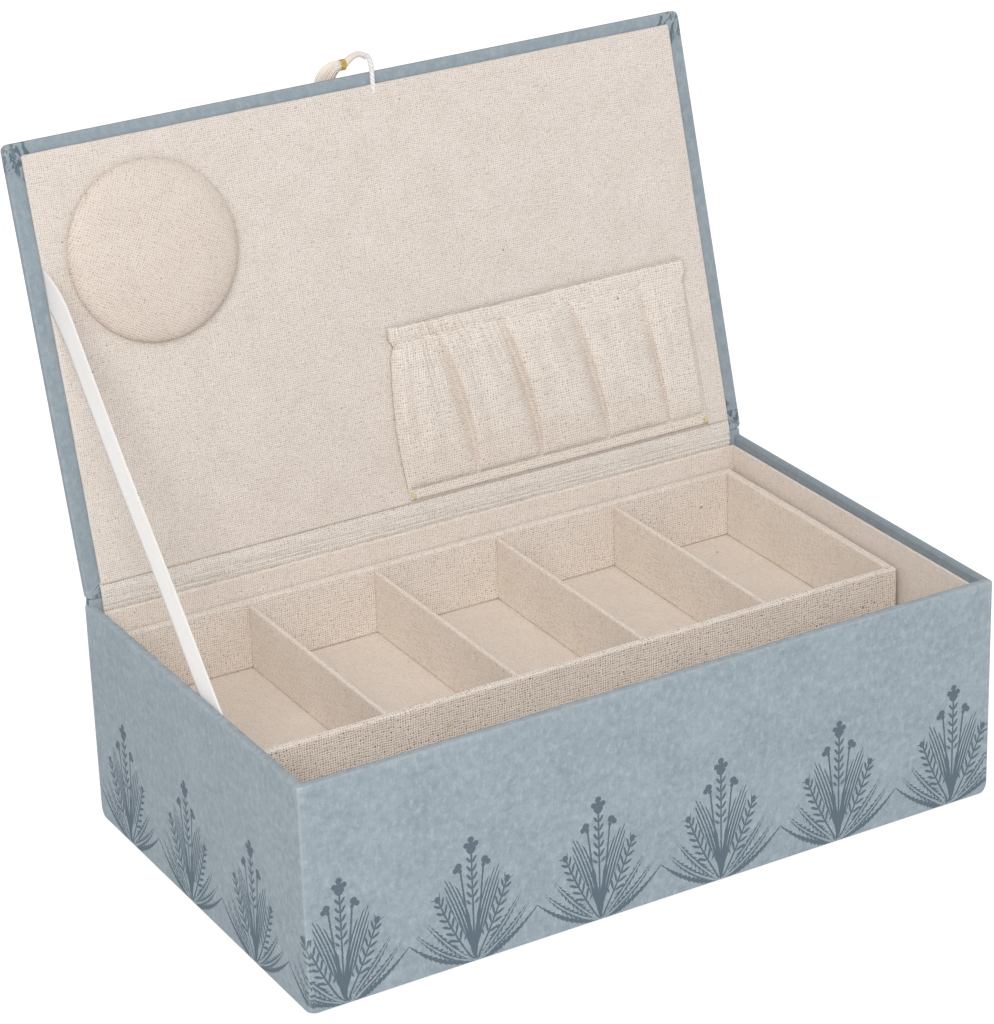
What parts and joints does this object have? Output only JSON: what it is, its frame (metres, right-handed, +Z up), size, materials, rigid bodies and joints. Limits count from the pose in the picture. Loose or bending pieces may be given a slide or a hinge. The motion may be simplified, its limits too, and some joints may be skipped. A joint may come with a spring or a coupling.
{
  "type": "sewing box",
  "caption": "Paper-covered sewing box with a hinged lid on a ribbon stay, linen lining, sliding divided tray, pincushion, gathered pocket and tassel pull.",
  "frame": {"origin": "centre of the base's underside, on the surface that the box stands on", "axes": "+X along the box's length, to the right as seen from the front; +Y to the hinge at the back; +Z up"},
  "size_m": [0.3, 0.2298, 0.2707],
  "materials": {
    "greyboard": "matte",
    "printed_paper": "matte",
    "plain_paper": "matte",
    "linen_card": "matte",
    "linen": "matte",
    "ribbon": "satin",
    "elastic": "matte",
    "stitch_thread": "matte",
    "cord": "matte",
    "tassel_thread": "satin",
    "gold_thread": "satin"
  },
  "bodies": {
    "base": {"base_bottom_board": "greyboard", "base_front_board": "greyboard", "base_back_board": "greyboard", "base_left_board": "greyboard", "base_right_board": "greyboard", "base_cover_paper": "printed_paper", "base_underside_paper": "plain_paper", "base_lining_floor": "linen_card", "base_lining_front": "linen_card", "base_lining_back": "linen_card", "base_lining_left": "linen_card", "base_lining_right": "linen_card", "tray_ledge_left": "linen_card", "tray_ledge_right": "linen_card", "ribbon_stay": "ribbon", "hinge_linen_strip": "linen", "hinge_outer_paper": "printed_paper"},
    "lid": {"lid_board": "greyboard", "lid_cover_paper": "printed_paper", "lid_lining": "linen_card", "pincushion_card": "linen_card", "pincushion_pad": "linen", "pocket_cloth": "linen", "pocket_elastic": "elastic", "pocket_tacks": "stitch_thread", "pull_cord": "cord"},
    "tassel": {"tassel_head": "tassel_thread", "tassel_band": "gold_thread", "tassel_skirt": "tassel_thread"},
    "tray": {"tray_floor": "linen_card", "tray_front_wall": "linen_card", "tray_back_wall": "linen_card", "tray_left_wall": "linen_card", "tray_right_wall": "linen_card", "tray_divider_1": "linen_card", "tray_divider_2": "linen_card", "tray_divider_3": "linen_card", "tray_divider_4": "linen_card"}
  },
  "joints": [
    {"name": "lid_hinge", "type": "hinge", "parent": "base", "child": "lid", "pos_m": [0, 0.087, 0.0952], "axis": [1, 0, 0], "range_deg": [0, 105.2], "deforming": ["ribbon_stay", "hinge_linen_strip", "hinge_outer_paper", "pull_cord"]},
    {"name": "tray_slide", "type": "slide", "parent": "base", "child": "tray", "axis": [0, -1, 0], "range_m": [0, 0.0459]},
    {"name": "tassel_swing", "type": "hinge", "parent": "lid", "child": "tassel", "pos_m": [0, 0.13722, 0.26746], "axis": [1, 0, 0], "range_deg": [0, 238]}
  ]
}
